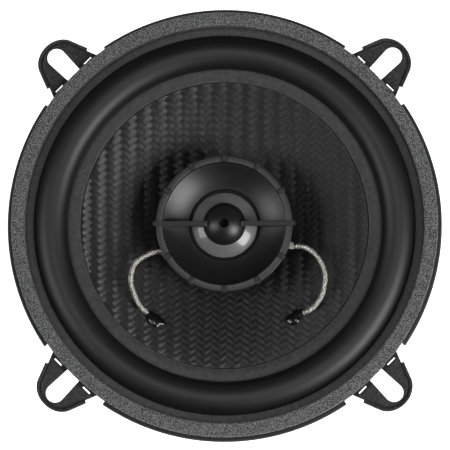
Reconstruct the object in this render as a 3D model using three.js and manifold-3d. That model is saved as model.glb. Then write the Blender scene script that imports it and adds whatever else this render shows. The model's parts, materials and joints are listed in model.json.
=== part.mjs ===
// A coaxial car loudspeaker: a 130 mm woofer with a small dome tweeter on a post at its centre.
// Millimetres. +Z is the loudspeaker's axis and points out of its front. The origin is the centre
// of the yoke's rear face, on which the loudspeaker can stand.
import * as THREE from "three";
import { mergeVertices } from "three/addons/utils/BufferGeometryUtils.js";
import Module from "manifold-3d";

const wasm = await Module();
wasm.setup();

// Fineness of the round parts, in sides.
const LARGE = 40;
const MEDIUM = 24;
const RIM = 36;
const SMALL = 12;

// Clearance between pieces that rest on each other, and between a pin and its hole.
const TOUCH = 0.05;
const GAP = 0.3;

// Motor: yoke, ferrite ring and top plate.
const YOKE_R = 34.5;
const YOKE_PLATE_TOP = 4.5;
const POLE_R = 12.3;
const POLE_BORE_R = 3.5;
const COUNTERBORE_R = 6.5;
const COUNTERBORE_DEPTH = 3.2;
const MAGNET_R = 36;
const MAGNET_BORE_R = 17;
const MAGNET_TOP = 17.5;
const PLATE_TOP = 21.45;
const PLATE_BORE_R = 14.1;
const EDGE = 0.8;

// Basket, pressed from steel sheet.
const SHEET = 0.9;
const FLOOR_TOP = 22.4;
const LEDGE_TOP = 30.4;
const LEDGE_R = 39.5;
const LANDING_TOP = 44.4;
const LANDING_R = 56.6;
const STEP_R = 61.6;
const FLANGE_TOP = 46.8;
const FLANGE_R = 66;
const LIP_DEPTH = 3;
const LIP_BEND = 1;
const LEGS = 8;

// Windows between the legs: half widths at their inner and outer ends, and half height.
const WINDOW_INNER = 9.4;
const WINDOW_OUTER = 14.2;
const WINDOW_HALF = 6.45;
const WINDOW_CORNER = 2.5;

// Mounting tabs, on the diagonals. u runs out along the diagonal and v across it.
const TABS = 4;
const TAB_EDGE = [
  [62.4, 10.6],
  [64, 9.6],
  [67.7, 8],
  [68.7, 8.4],
  [72.6, 6.6],
  [75, 4.9],
  [76.6, 2.5],
  [77.2, 0],
];
const TAB_LIP_FROM = 3;
const TAB_LIP = 1;
const TAB_LIP_DEPTH = 2.2;
const SLOT_IN = 63.4;
const SLOT_END = 72.5;
const SLOT_HALF_IN = 2.5;
const SLOT_HALF_OUT = 2.85;
const SLIT_U = 65.55;
const SLIT_V = 6.1;
const SLIT_SIZE = [1.2, 2.8];
const LIP_BREAK_R = 64.8;
const LIP_BREAK = THREE.MathUtils.degToRad(11);

// Rivets of the basket floor.
const RIVETS = 4;
const RIVET_CIRCLE = 24.5;
const RIVET_R = 1.6;

// Gasket ring on the flange.
const GASKET_R = [60.5, 65.2];
const GASKET_TOP = 49.5;
const GASKET_SKIRT_R = 61.3;

// Suspension and cone.
const BAND_TOP = 45.2;
const ROLL_R = [47.8, 57.9];
const ROLL_HEIGHT = 3.3;
const RUBBER = 0.7;
const CONE_EDGE_R = 43.9;
const CONE_EDGE_TOP = 43.9;
const CONE_RIM_R = 47.6;
const CONE_NECK_R = 13.25;
const CONE_NECK_TOP = 32.2;
const CONE_SHEET = 0.5;
const CONE_FLARE = 1.15;
const SPIDER_R = [13.3, 38.8];
const SPIDER_TOP = 30.9;
const SPIDER_SHEET = 0.45;
const SPIDER_WAVES = 3;
const SPIDER_WAVE = 0.8;
const FORMER_R = [12.7, 13.1];
const FORMER_Z = [14.5, 31.7];
const COIL_R = [13.15, 13.75];
const COIL_Z = [15.4, 23.6];

// Tweeter: post, housing, bezel, horn and drive.
const POST_R = 3.2;
const POST_FLANGE_R = 8;
const POST_SHOULDER = 37.9;
const NUT_ACROSS_CORNERS = 10.4;
const HOUSING_BOTTOM = 38.2;
const HOUSING_TOP = 46.6;
const BEZEL_R = [18.6, 20.8];
const BEZEL_TOP = 49.4;
const BEZEL_BOTTOM = 46.8;
const RIB_STEPS = 12;
const RIB = [2.3, 1.7, 2.5];
const RIB_MID_R = 19.95;
const BAR_REACH = 21.5;
const BAR_WIDTH = 1.6;
const BAR_Z = [48.7, 50];
const BULLET_R = 6.6;
const BULLET_Z = [47.3, 50.2];
const BULLET_HOLE_R = 1.5;
const HORN_THROAT_R = 11.2;
const HORN_MOUTH_R = 18.5;
const HORN_MOUTH_TOP = 48.4;
const HORN_THROAT_TOP = 44.9;
const HORN_CURVE = 0.45;
const DOME_R = 9.9;
const DOME_EDGE = 43.9;
const DOME_RISE = 2.8;
const DOME_SHEET = 0.25;
const CUP_R = [10.3, 13.4];
const CUP_Z = [39.6, 43.2];
const CUP_FLOOR = 1.2;
const TWEETER_MAGNET_R = 8.2;
const POLE_DISC_R = 9;
const POLE_DISC_SHEET = 1.15;
const TWEETER_COIL_R = [9.35, 9.75];
const TWEETER_COIL_Z = [41.4, 43.5];

// Leads. The front pair joins the tweeter's lugs to the glue beads on the cone.
const LEAD_R = 0.7;
const LUG_Z = 44.2;
const LUG_SHEET = 0.5;
const GLUE_R = 2.3;
const LEFT_LEAD = [
  [-18.1, -7.9, 45.5],
  [-20.6, -8.2, 45.5],
  [-23, -8.9, 45.4],
  [-26.9, -11.4, 45.2],
  [-28.3, -14.8, 45],
  [-28.4, -17.7, 44.8],
  [-27.3, -21.2, 44.4],
  [-25.7, -24.5, 43.6],
  [-23.6, -26.6, 42.6],
];
const RIGHT_LEAD = [
  [21.4, -6.7, 45.5],
  [23.3, -6.6, 45.5],
  [25.6, -7.5, 45.4],
  [27.8, -9.4, 45.3],
  [29.5, -12, 45.2],
  [30.5, -15, 45],
  [30.4, -17.8, 44.8],
  [29.7, -21, 44.4],
  [28, -23.9, 43.8],
  [25.9, -25.8, 43.1],
  [23.8, -26.7, 42.5],
];
const GLUE_LEFT = [-20.5, -29.2];
const GLUE_RIGHT = [20.5, -28.6];

// Terminal board, on the outside of the basket leg that points to -Y. x runs along the board,
// y up the leg and z away from the basket.
const BOARD = [26, 11, 1.6];
const BOARD_STANDOFF = 2.3;
const BLADE_SHEET = 0.8;
const BLADE_X = [4.5, 21];
const BLADE_OFFSET = 1.5;
const BLADE_WIDTH = { positive: 6.3, negative: 4.8 };
const BLADE_RIVET_X = 8.5;
const BLADE_RIVET_R = 0.9;
const BOARD_RIVET_R = 1.4;
const CAPACITOR_R = 2.6;
const CAPACITOR_LENGTH = 11;
const CAPACITOR_AT = [0, -8.4, 2.2];
const WIRE_R = 0.3;

// Finishes.
const finish = (color, roughness, metalness) => ({ color, roughness, metalness });
const COATED_STEEL = finish(0x1a1a1b, 0.5, 0.35);
const GASKET = finish(0x4a4a4b, 0.9, 0);
const BUTYL = finish(0x1c1c1d, 0.45, 0);
const WOVEN_FIBRE = finish(0x222224, 0.4, 0.1);
const TAN_CLOTH = finish(0xa8803f, 0.9, 0);
const FORMER_FILM = finish(0x8a5a2a, 0.5, 0);
const COPPER = finish(0xb06a3a, 0.35, 0.9);
const ZINC = finish(0xa9adb2, 0.35, 0.9);
const FERRITE = finish(0x2b2b2d, 0.7, 0.1);
const MOULDED = finish(0x19191a, 0.35, 0);
const SILK = finish(0x303032, 0.6, 0);
const TINSEL = finish(0xcfcabc, 0.4, 0.6);
const GLUE = finish(0x0d0d0d, 0.12, 0);
const BOARD_PAPER = finish(0x6b3f1f, 0.7, 0);
const TINNED = finish(0xc3c3bd, 0.3, 0.95);
const NEODYMIUM = finish(0xb9bcc0, 0.25, 0.95);
const SLEEVE = finish(0x23406b, 0.4, 0);

// Geometry helpers.

// The geometry with its vertices welded, without the triangles that a pole squeezes flat, and
// with its faces pointing out.
function closed(geometry) {
  const bare = geometry.index ? geometry.toNonIndexed() : geometry.clone();
  bare.deleteAttribute("normal");
  bare.deleteAttribute("uv");
  const welded = mergeVertices(bare, 1e-4);
  const place = welded.getAttribute("position");
  const corner = (i) => new THREE.Vector3().fromBufferAttribute(place, i);
  const kept = [];
  let volume = 0;
  for (let i = 0; i < welded.index.count; i += 3) {
    const [a, b, c] = [0, 1, 2].map((k) => welded.index.getX(i + k));
    if (a === b || b === c || c === a) continue;
    kept.push([a, b, c]);
    volume += corner(a).dot(corner(b).cross(corner(c)));
  }
  welded.setIndex(kept.flatMap(([a, b, c]) => (volume < 0 ? [a, c, b] : [a, b, c])));
  return welded;
}

function solid(geometry) {
  const ready = closed(geometry);
  const vertProperties = new Float32Array(ready.getAttribute("position").array);
  const triVerts = new Uint32Array(ready.index.array);
  return new wasm.Manifold(new wasm.Mesh({ numProp: 3, vertProperties, triVerts }));
}

function meshed(manifold) {
  const mesh = manifold.getMesh();
  const geometry = new THREE.BufferGeometry();
  geometry.setAttribute("position", new THREE.BufferAttribute(mesh.vertProperties, 3));
  geometry.setIndex(new THREE.BufferAttribute(mesh.triVerts, 1));
  return geometry;
}

// A closed outline of [radius, z] points turned round the Z axis.
function turned(outline, sides) {
  const points = outline.map(([r, z]) => new THREE.Vector2(r, z));
  if (outline[0][0] > 0) points.push(points[0].clone());
  return closed(new THREE.LatheGeometry(points, sides).rotateX(Math.PI / 2));
}

function tube([inner, outer], [low, high], sides) {
  return turned([[inner, low], [outer, low], [outer, high], [inner, high]], sides);
}

// A line's copy at a distance to its right, with mitred corners.
function offsetLine(line, distance) {
  const points = line.map(([x, y]) => new THREE.Vector2(x, y));
  const normals = points.slice(1).map((point, i) => {
    const along = point.clone().sub(points[i]).normalize();
    return new THREE.Vector2(along.y, -along.x);
  });
  return points.map((point, i) => {
    const before = normals[Math.max(i - 1, 0)];
    const after = normals[Math.min(i, normals.length - 1)];
    const mitre = before.clone().add(after).multiplyScalar(1 / (1 + before.dot(after)));
    return point.clone().addScaledVector(mitre, distance).toArray();
  });
}

// Sheet of even thickness: the line is its front face, from the axis outwards.
function sheetOutline(line, thickness) {
  return [...line, ...offsetLine(line, thickness).reverse()];
}

function plate(outline, low, high) {
  const shape = new THREE.Shape(outline.map(([x, y]) => new THREE.Vector2(x, y)));
  const depth = high - low;
  return new THREE.ExtrudeGeometry(shape, { depth, bevelEnabled: false }).translate(0, 0, low);
}

function cylinder(radius, low, high, sides) {
  const height = high - low;
  const upright = new THREE.CylinderGeometry(radius, radius, height, sides);
  return upright.rotateX(Math.PI / 2).translate(0, 0, low + height / 2);
}

// A round cord along a smooth line through the points.
function cord(points, radius, steps) {
  const path = new THREE.CatmullRomCurve3(points.map((p) => new THREE.Vector3(...p)));
  const ring = new THREE.Shape();
  ring.absarc(0, 0, radius, 0, 2 * Math.PI);
  const options = { steps, curveSegments: 4, extrudePath: path, bevelEnabled: false };
  return closed(new THREE.ExtrudeGeometry(ring, options));
}

function arc(centre, radii, from, to, steps) {
  const turn = (i) => from + ((to - from) * i) / steps;
  return Array.from({ length: steps + 1 }, (_, i) => [
    centre[0] + radii[0] * Math.cos(turn(i)),
    centre[1] + radii[1] * Math.sin(turn(i)),
  ]);
}

const mirrored = (line) => line.map(([x, y]) => [x, -y]).reverse();
const onDiagonal = (i, count) => ((i + 0.5) * 2 * Math.PI) / count;

// Basket.

const legMiddle = [(LEDGE_R + LANDING_R) / 2, (LEDGE_TOP + LANDING_TOP) / 2];
const legSlope = Math.atan2(LANDING_TOP - LEDGE_TOP, LANDING_R - LEDGE_R);

// A matrix that takes a flat thing onto the sloping wall at an angle round the axis: its x runs
// round the wall, its y up the wall and its z away from the basket.
function onWall(angle) {
  const outward = new THREE.Vector3(Math.sin(legSlope), 0, -Math.cos(legSlope));
  const uphill = new THREE.Vector3(Math.cos(legSlope), 0, Math.sin(legSlope));
  const round = new THREE.Vector3().crossVectors(uphill, outward);
  const wall = new THREE.Matrix4().makeBasis(round, uphill, outward);
  wall.setPosition(legMiddle[0], 0, legMiddle[1]);
  return new THREE.Matrix4().makeRotationZ(angle).multiply(wall);
}

function basketShell() {
  const front = [
    [MAGNET_BORE_R, FLOOR_TOP],
    [32, FLOOR_TOP],
    [33.4, LEDGE_TOP],
    [LEDGE_R, LEDGE_TOP],
    [LANDING_R, LANDING_TOP],
    [STEP_R, LANDING_TOP],
    [STEP_R, FLANGE_TOP],
    [FLANGE_R - LIP_BEND, FLANGE_TOP],
    [FLANGE_R, FLANGE_TOP - LIP_BEND],
    [FLANGE_R, FLANGE_TOP - LIP_DEPTH],
  ];
  return solid(turned(sheetOutline(front, SHEET), LARGE));
}

function windowCutter(angle) {
  const half = [
    [WINDOW_INNER - WINDOW_CORNER, -WINDOW_HALF],
    [WINDOW_INNER, WINDOW_CORNER - WINDOW_HALF],
    [WINDOW_OUTER, WINDOW_HALF - WINDOW_CORNER],
    [WINDOW_OUTER - WINDOW_CORNER, WINDOW_HALF],
  ];
  const outline = [...half, ...half.map(([x, y]) => [-x, y]).reverse()];
  return solid(plate(outline, -6, 6).applyMatrix4(onWall(angle)));
}

function lipBreakCutter(angle) {
  const outline = [
    ...arc([0, 0], [LIP_BREAK_R, LIP_BREAK_R], angle - LIP_BREAK, angle + LIP_BREAK, 3),
    ...arc([0, 0], [FLANGE_R + 2, FLANGE_R + 2], angle + LIP_BREAK, angle - LIP_BREAK, 3),
  ];
  return solid(plate(outline, FLANGE_TOP - LIP_DEPTH - 1, FLANGE_TOP + 1));
}

// A tab with its turned-down edge, and what is cut out of it.
function tab(angle) {
  const outline = [...TAB_EDGE, ...mirrored(TAB_EDGE).slice(1)];
  const flat = solid(plate(outline, FLANGE_TOP - SHEET, FLANGE_TOP));
  const half = TAB_EDGE.slice(TAB_LIP_FROM);
  const edge = [...half, ...mirrored(half).slice(1)];
  const lip = solid(plate(sheetOutline(edge, TAB_LIP), FLANGE_TOP - TAB_LIP_DEPTH, FLANGE_TOP));
  return flat.add(lip).rotate([0, 0, THREE.MathUtils.radToDeg(angle)]);
}

function tabCutter(angle) {
  const low = FLANGE_TOP - LIP_DEPTH;
  const high = FLANGE_TOP + 1;
  const round = arc([SLOT_END, 0], [SLOT_HALF_OUT, SLOT_HALF_OUT], -Math.PI / 2, Math.PI / 2, 6);
  const slot = [[SLOT_IN, SLOT_HALF_IN], [SLOT_IN, -SLOT_HALF_IN], ...round];
  let cut = solid(plate(slot, low, high));
  for (const side of [-1, 1]) {
    const slit = new THREE.BoxGeometry(...SLIT_SIZE, high - low);
    cut = cut.add(solid(slit.translate(SLIT_U, side * SLIT_V, (low + high) / 2)));
  }
  return cut.rotate([0, 0, THREE.MathUtils.radToDeg(angle)]);
}

function rivetPlace(i) {
  const angle = onDiagonal(i, RIVETS);
  return new THREE.Vector3(RIVET_CIRCLE * Math.cos(angle), RIVET_CIRCLE * Math.sin(angle), 0);
}

function rivetHole(i) {
  const hole = cylinder(RIVET_R + GAP, MAGNET_TOP - 1, FLOOR_TOP + 1, SMALL);
  return solid(hole.translate(...rivetPlace(i).toArray()));
}

function boardRivetHole() {
  return solid(cylinder(BOARD_RIVET_R + GAP, -2, 6, SMALL).applyMatrix4(onWall(-Math.PI / 2)));
}

function basket() {
  let shell = basketShell();
  for (let i = 0; i < LEGS; i += 1) {
    shell = shell.subtract(windowCutter(onDiagonal(i, LEGS)));
  }
  for (let i = 0; i < TABS; i += 1) {
    const angle = onDiagonal(i, TABS);
    shell = shell.subtract(lipBreakCutter(angle)).add(tab(angle)).subtract(tabCutter(angle));
  }
  for (let i = 0; i < RIVETS; i += 1) shell = shell.subtract(rivetHole(i));
  return meshed(shell.subtract(boardRivetHole()));
}

function basketRivet() {
  const bottom = MAGNET_TOP + GAP;
  const seat = FLOOR_TOP + TOUCH;
  const stem = [[0, bottom], [RIVET_R, bottom], [RIVET_R, seat]];
  const head = [[2.9, seat], [2.6, seat + 0.7], [1.2, seat + 1.1], [0, seat + 1.1]];
  return turned([...stem, ...head], SMALL);
}

// Motor.

function poleYoke() {
  const outline = [
    [COUNTERBORE_R, 0],
    [YOKE_R - EDGE, 0],
    [YOKE_R, EDGE],
    [YOKE_R, YOKE_PLATE_TOP],
    [POLE_R, YOKE_PLATE_TOP],
    [POLE_R, PLATE_TOP],
    [POLE_BORE_R, PLATE_TOP],
    [POLE_BORE_R, COUNTERBORE_DEPTH],
    [COUNTERBORE_R, COUNTERBORE_DEPTH],
  ];
  return turned(outline, MEDIUM);
}

function magnet() {
  const low = YOKE_PLATE_TOP + TOUCH;
  const high = MAGNET_TOP - TOUCH;
  const outline = [
    [MAGNET_BORE_R, low],
    [MAGNET_R - EDGE, low],
    [MAGNET_R, low + EDGE],
    [MAGNET_R, high - EDGE],
    [MAGNET_R - EDGE, high],
    [MAGNET_BORE_R, high],
  ];
  return turned(outline, MEDIUM);
}

function topPlate() {
  let disc = solid(tube([PLATE_BORE_R, YOKE_R], [MAGNET_TOP, PLATE_TOP], MEDIUM));
  for (let i = 0; i < RIVETS; i += 1) disc = disc.subtract(rivetHole(i));
  return meshed(disc);
}

// Gasket, suspension, cone and voice coil.

function gasketRing() {
  const [inner, outer] = GASKET_R;
  const seat = FLANGE_TOP + TOUCH;
  const outline = [
    [inner, BAND_TOP + TOUCH],
    [GASKET_SKIRT_R, BAND_TOP + TOUCH],
    [GASKET_SKIRT_R, seat],
    [outer, seat],
    [outer, GASKET_TOP],
    [inner, GASKET_TOP],
  ];
  return turned(outline, LARGE);
}

function surround() {
  const [inner, outer] = ROLL_R;
  const flat = CONE_EDGE_TOP + TOUCH + RUBBER;
  const middle = [(inner + outer) / 2, BAND_TOP - 0.2];
  const roll = arc(middle, [(outer - inner) / 2, ROLL_HEIGHT], Math.PI, 0, 5);
  const front = [[CONE_EDGE_R, flat], [inner - 0.3, flat], ...roll.slice(1, -1)];
  front.push([outer + 0.3, BAND_TOP], [GASKET_SKIRT_R - 0.1, BAND_TOP]);
  return turned(sheetOutline(front, RUBBER), LARGE);
}

// Height of the cone's front face. The cone is steepest at its neck.
function coneTop(r) {
  const share = (r - CONE_NECK_R) / (CONE_EDGE_R - CONE_NECK_R);
  return CONE_EDGE_TOP - (CONE_EDGE_TOP - CONE_NECK_TOP) * (1 - share) ** CONE_FLARE;
}

function cone() {
  const steps = 3;
  const radius = (i) => CONE_NECK_R + ((CONE_EDGE_R - CONE_NECK_R) * i) / steps;
  const front = Array.from({ length: steps + 1 }, (_, i) => [radius(i), coneTop(radius(i))]);
  front.push([CONE_RIM_R, CONE_EDGE_TOP]);
  return turned(sheetOutline(front, CONE_SHEET), LARGE);
}

function spider() {
  const [inner, outer] = SPIDER_R;
  const flat = LEDGE_R - 5.4;
  const front = [[inner, SPIDER_TOP]];
  const halves = 2 * SPIDER_WAVES;
  const pitch = (flat - inner) / (halves + 1);
  for (let i = 1; i <= halves; i += 1) {
    front.push([inner + i * pitch, SPIDER_TOP + (i % 2 ? -SPIDER_WAVE : SPIDER_WAVE)]);
  }
  front.push([flat, SPIDER_TOP], [outer, SPIDER_TOP]);
  return turned(sheetOutline(front, SPIDER_SHEET), MEDIUM);
}

// Tweeter.

function tweeterPost() {
  const seat = PLATE_TOP + GAP;
  const outline = [
    [0, 0.5],
    [POST_R, 0.5],
    [POST_R, seat],
    [POST_FLANGE_R, seat],
    [POST_FLANGE_R, seat + 1.4],
    [5.4, seat + 2.8],
    [4.8, POST_SHOULDER],
    [POST_R, POST_SHOULDER],
    [POST_R, HOUSING_BOTTOM + 1.1],
    [0, HOUSING_BOTTOM + 1.1],
  ];
  return turned(outline, 24);
}

function postNut() {
  const blank = solid(cylinder(NUT_ACROSS_CORNERS / 2, 0.4, 2.6, 6));
  return meshed(blank.subtract(solid(cylinder(POST_R + GAP, 0, 3, 24))));
}

function tweeterHousing() {
  const outline = [
    [POLE_BORE_R, HOUSING_BOTTOM],
    [13.6, HOUSING_BOTTOM],
    [17.4, HOUSING_BOTTOM + 1.8],
    [18.4, HOUSING_TOP],
    [17.4, HOUSING_TOP],
    [16.4, HOUSING_BOTTOM + 2.6],
    [14, HOUSING_BOTTOM + 1.2],
    [POLE_BORE_R, HOUSING_BOTTOM + 1.2],
  ];
  return turned(outline, MEDIUM);
}

function bezelRim() {
  const [inner, outer] = BEZEL_R;
  const outline = [
    [inner, BEZEL_BOTTOM],
    [outer, BEZEL_BOTTOM],
    [outer, BEZEL_TOP - 0.4],
    [outer - 0.4, BEZEL_TOP],
    [inner, BEZEL_TOP],
  ];
  return solid(turned(outline, RIM));
}

function bullet() {
  const [low, high] = BULLET_Z;
  const floor = low + 0.9;
  const radii = [BULLET_R - BULLET_HOLE_R, high - low - 0.5];
  const crown = arc([BULLET_HOLE_R, low + 0.5], radii, 0, Math.PI / 2, 4);
  const outline = [[0, low], [BULLET_R, low], ...crown, [BULLET_HOLE_R, floor], [0, floor]];
  return solid(turned(outline, 24));
}

// The rim with its ribs, and the two bars that carry the bullet over the dome.
function tweeterBezel() {
  let bezel = bezelRim();
  for (let i = 0; i < RIB_STEPS; i += 1) {
    if (i % (RIB_STEPS / 2) === 0) continue;
    const rib = new THREE.BoxGeometry(...RIB);
    rib.translate(RIB_MID_R, 0, BEZEL_TOP + 0.35 - RIB[2] / 2);
    bezel = bezel.add(solid(rib.rotateZ((i * 2 * Math.PI) / RIB_STEPS)));
  }
  const [low, high] = BAR_Z;
  const bar = new THREE.BoxGeometry(2 * BAR_REACH, BAR_WIDTH, high - low);
  const bridge = solid(bar.translate(0, 0, (low + high) / 2));
  const hole = solid(cylinder(BULLET_HOLE_R, BULLET_Z[0] + 0.9, BULLET_Z[1] + 1, 24));
  return meshed(bezel.add(bridge).add(bullet()).subtract(hole));
}

function tweeterWaveguide() {
  const rise = HORN_MOUTH_TOP - HORN_THROAT_TOP;
  const width = HORN_MOUTH_R - HORN_THROAT_R;
  const flare = [0, 0.25, 0.5, 0.75, 1].map((share) => {
    const height = HORN_CURVE * share ** 2 + (1 - HORN_CURVE) * share;
    return [HORN_THROAT_R + width * share, HORN_THROAT_TOP + rise * height];
  });
  const back = [
    [HORN_MOUTH_R, HOUSING_TOP + GAP],
    [17, HOUSING_TOP + GAP],
    [17, HOUSING_TOP - 1],
    [14, 44.5],
    [HORN_THROAT_R, 44.3],
  ];
  return turned([...flare, ...back], MEDIUM);
}

function tweeterDome() {
  const ball = (DOME_R ** 2 + DOME_RISE ** 2) / (2 * DOME_RISE);
  const centre = [0, DOME_EDGE + DOME_RISE - ball];
  const edge = Math.asin((DOME_EDGE - centre[1]) / ball);
  const inside = ball - DOME_SHEET;
  const outline = [
    ...arc(centre, [inside, inside], Math.PI / 2, edge, 3),
    ...arc(centre, [ball, ball], edge, Math.PI / 2, 3),
  ];
  return turned(outline.map(([r, z]) => [r < 1e-6 ? 0 : r, z]), MEDIUM);
}

function tweeterSuspension() {
  const line = [[DOME_R + 0.1, 43.9], [10.9, 43.9], [13.2, 43.7]];
  return turned(sheetOutline(line, DOME_SHEET), MEDIUM);
}

function tweeterCup() {
  const [inner, outer] = CUP_R;
  const [low, high] = CUP_Z;
  const floor = low + CUP_FLOOR;
  const outline = [[0, low], [outer, low], [outer, high], [inner, high], [inner, floor], [0, floor]];
  return turned(outline, MEDIUM);
}

// A small three-cornered lug that stands out under the bezel.
function lug(reach) {
  const outline = [[18.8, -1.8], [reach - 0.6, -0.9], [reach, 0], [reach - 0.6, 0.9], [18.8, 1.8]];
  return closed(plate(outline, LUG_Z, LUG_Z + LUG_SHEET));
}

function glueBead([x, y]) {
  const r = Math.hypot(x, y);
  const slope = Math.atan2(coneTop(r + 1) - coneTop(r - 1), 2);
  const bead = new THREE.SphereGeometry(GLUE_R, 12, 8).rotateX(Math.PI / 2).scale(1, 1, 0.5);
  bead.translate(0, 0, 0.5 * GLUE_R + GAP).rotateY(-slope).rotateZ(Math.atan2(y, x));
  return closed(bead.translate(x, y, coneTop(r)));
}

// Terminals.

function terminalBoard() {
  let board = solid(new THREE.BoxGeometry(...BOARD));
  board = board.subtract(solid(cylinder(BOARD_RIVET_R + GAP, -2, 2, SMALL)));
  for (const side of [-1, 1]) {
    const hole = cylinder(BLADE_RIVET_R + 0.2, -2, 2, SMALL).translate(side * BLADE_RIVET_X, 0, 0);
    board = board.subtract(solid(hole));
  }
  return meshed(board);
}

function blade(width, side) {
  const [near, far] = BLADE_X;
  const half = width / 2;
  const upper = [[far, half - 1], [far - 1, half], [near, half]];
  const outline = [...mirrored(upper), ...upper];
  const low = BLADE_OFFSET - BLADE_SHEET / 2;
  const flat = solid(plate(outline, low, low + BLADE_SHEET));
  const hole = cylinder(BLADE_RIVET_R + 0.2, 0, 3, SMALL).translate(BLADE_RIVET_X, 0, 0);
  const dimple = cylinder(0.9, 0, 3, SMALL).translate(far - 4.5, 0, 0);
  const pierced = flat.subtract(solid(hole)).subtract(solid(dimple));
  return meshed(pierced.rotate([0, 0, side < 0 ? 180 : 0]));
}

// A rivet with a head at each end of its stem.
function doubleRivet(stem, head, low, high) {
  const outline = [
    [0, low - 0.6],
    [head, low - 0.6],
    [head, low],
    [stem, low],
    [stem, high],
    [head, high],
    [head * 0.8, high + 0.6],
    [0, high + 0.6],
  ];
  return turned(outline, SMALL);
}

function capacitor() {
  const half = CAPACITOR_LENGTH / 2;
  let whole = solid(cylinder(CAPACITOR_R, -half, half, 16).rotateY(Math.PI / 2));
  for (const side of [-1, 1]) {
    const end = side * half;
    const bend = [[end + side, 0, 0], [end + 2 * side, 0.8, 0]];
    const path = [[end * 0.9, 0, 0], ...bend, [end + 2.2 * side, 4.6, 0]];
    whole = whole.add(solid(cord(path, WIRE_R, 6)));
  }
  return meshed(whole);
}

// A lead from a blade, through a window, to the back of the cone under its glue bead.
function wooferLead([x, y]) {
  const side = Math.sign(x);
  const r = Math.hypot(x, y);
  const path = [
    [side * 9.5, -54.6, 37.2],
    [side * 13.2, -54.3, 37.2],
    [side * 16, -51, 37.7],
    [side * 17.2, -46.5, 38.2],
    [side * 18.6, -41.5, 37.8],
    [side * 19.8, -36, 37.7],
    [side * 20.3, -31.2, coneTop(r) - 1.7],
  ];
  return cord(path, LEAD_R, 18);
}

// Assembly.

const speaker = new THREE.Group();

function add(parent, name, geometry, look) {
  const mesh = new THREE.Mesh(geometry, new THREE.MeshStandardMaterial(look));
  mesh.name = name;
  parent.add(mesh);
  return mesh;
}

add(speaker, "basket", basket(), COATED_STEEL);
add(speaker, "gasket_ring", gasketRing(), GASKET);
add(speaker, "surround", surround(), BUTYL);
add(speaker, "cone", cone(), WOVEN_FIBRE);
add(speaker, "spider", spider(), TAN_CLOTH);
add(speaker, "voice_coil_former", tube(FORMER_R, FORMER_Z, MEDIUM), FORMER_FILM);
add(speaker, "voice_coil", tube(COIL_R, COIL_Z, MEDIUM), COPPER);
add(speaker, "top_plate", topPlate(), ZINC);
add(speaker, "magnet", magnet(), FERRITE);
add(speaker, "pole_yoke", poleYoke(), ZINC);
for (let i = 0; i < RIVETS; i += 1) {
  add(speaker, `basket_rivet_${i + 1}`, basketRivet(), COATED_STEEL).position.copy(rivetPlace(i));
}

add(speaker, "tweeter_post", tweeterPost(), MOULDED);
add(speaker, "post_washer", tube([POST_R + GAP, 6], [2.75, 3.1], 24), ZINC);
add(speaker, "post_nut", postNut(), ZINC);
add(speaker, "tweeter_housing", tweeterHousing(), MOULDED);
add(speaker, "tweeter_bezel", tweeterBezel(), MOULDED);
add(speaker, "tweeter_waveguide", tweeterWaveguide(), MOULDED);
add(speaker, "tweeter_cup", tweeterCup(), ZINC);
const discBottom = CUP_Z[1] - POLE_DISC_SHEET;
const pill = [CUP_Z[0] + CUP_FLOOR + TOUCH, discBottom - TOUCH];
add(speaker, "tweeter_magnet", closed(cylinder(TWEETER_MAGNET_R, ...pill, MEDIUM)), NEODYMIUM);
const disc = closed(cylinder(POLE_DISC_R, discBottom, CUP_Z[1], MEDIUM));
add(speaker, "tweeter_pole_disc", disc, ZINC);
add(speaker, "tweeter_voice_coil", tube(TWEETER_COIL_R, TWEETER_COIL_Z, MEDIUM), COPPER);
add(speaker, "tweeter_dome", tweeterDome(), SILK);
add(speaker, "tweeter_suspension", tweeterSuspension(), SILK);

add(speaker, "tweeter_lug_left", lug(21.6), TINNED).rotation.z = Math.atan2(-7.9, -18.1);
add(speaker, "tweeter_lug_right", lug(22.6), TINNED).rotation.z = Math.atan2(-6.5, 20.8);
add(speaker, "tweeter_lead_left", cord(LEFT_LEAD, LEAD_R, 22), TINSEL);
add(speaker, "tweeter_lead_right", cord(RIGHT_LEAD, LEAD_R, 24), TINSEL);
add(speaker, "lead_glue_left", glueBead(GLUE_LEFT), GLUE);
add(speaker, "lead_glue_right", glueBead(GLUE_RIGHT), GLUE);
add(speaker, "woofer_lead_left", wooferLead(GLUE_LEFT), TINSEL);
add(speaker, "woofer_lead_right", wooferLead(GLUE_RIGHT), TINSEL);

const terminals = new THREE.Group();
const standoff = new THREE.Matrix4().makeTranslation(0, 0, BOARD_STANDOFF);
terminals.applyMatrix4(onWall(-Math.PI / 2).multiply(standoff));
speaker.add(terminals);
const bladeTop = BLADE_OFFSET + BLADE_SHEET / 2;
add(terminals, "terminal_board", terminalBoard(), BOARD_PAPER);
add(terminals, "board_rivet", doubleRivet(BOARD_RIVET_R, 2.6, -2.6, BOARD[2] / 2 + 0.1), ZINC);
for (const [name, side] of [["positive", 1], ["negative", -1]]) {
  add(terminals, `terminal_${name}`, blade(BLADE_WIDTH[name], side), TINNED);
  const rivet = doubleRivet(BLADE_RIVET_R, 1.7, -1, bladeTop + 0.1);
  add(terminals, `terminal_rivet_${name}`, rivet, ZINC).position.x = side * BLADE_RIVET_X;
}
add(terminals, "crossover_capacitor", capacitor(), SLEEVE).position.set(...CAPACITOR_AT);

export default speaker;
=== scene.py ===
"""A 13 cm coaxial car loudspeaker. Outlines and routes are in millimetres and become metres in
the mesh makers. +Z is the loudspeaker's axis, out of its front."""
import json
import math
from functools import partialmethod

import bpy
import numpy as np
from mathutils import Matrix, Vector


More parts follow.
